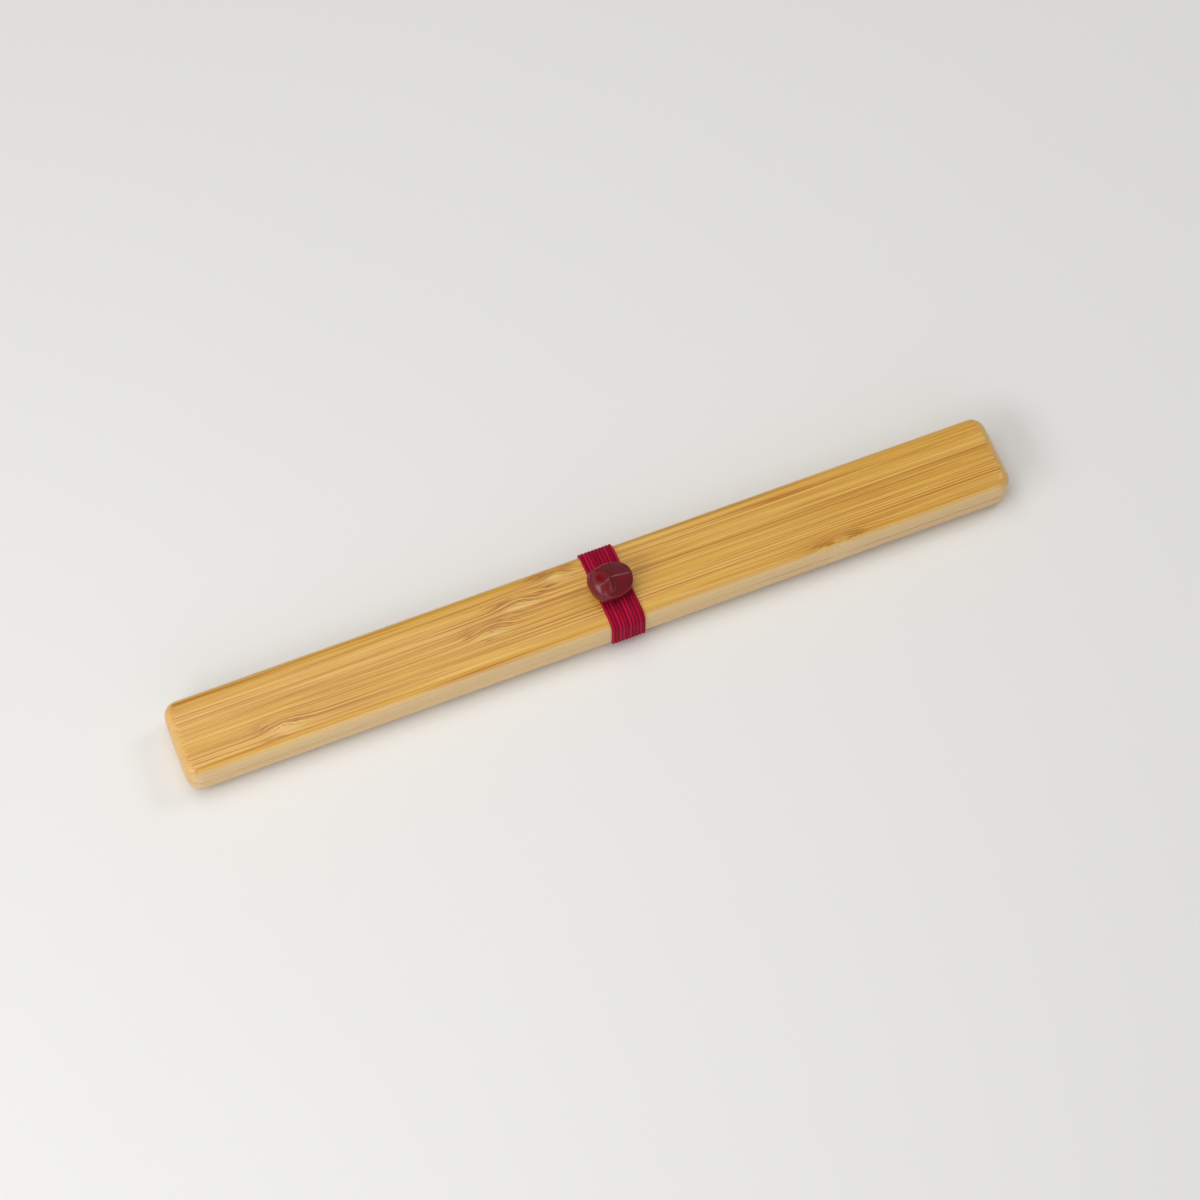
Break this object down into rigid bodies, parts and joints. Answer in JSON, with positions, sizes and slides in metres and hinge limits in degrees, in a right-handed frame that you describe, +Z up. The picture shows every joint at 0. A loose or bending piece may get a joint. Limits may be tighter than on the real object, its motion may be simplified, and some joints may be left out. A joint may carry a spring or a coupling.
{
  "type": "chopsticks in a bamboo case",
  "caption": "Slim bamboo chopstick case in two halves, held shut by a ribbed elastic band with a bead, with chopsticks lying inside.",
  "frame": {"origin": "under the middle of the case, at the underside of the elastic band, which the closed case rests on", "axes": "+X along the case towards the chopsticks' tips, +Y across the case away from the viewer of the picture, +Z up through the bead"},
  "size_m": [0.245, 0.026, 0.0218],
  "materials": {
    "case_bamboo": "oiled caramel bamboo, satin",
    "stick_bamboo": "sanded bamboo, satin",
    "elastic": "ribbed woven elastic, matte",
    "bead": "semi-gloss",
    "thread": "sewing thread"
  },
  "bodies": {
    "root": {"case_base": "case_bamboo", "case_lid": "case_bamboo", "chopstick_front": "stick_bamboo", "chopstick_rear": "stick_bamboo", "elastic_band": "elastic", "bead": "bead", "bead_stitch": "thread"}
  },
  "joints": []
}
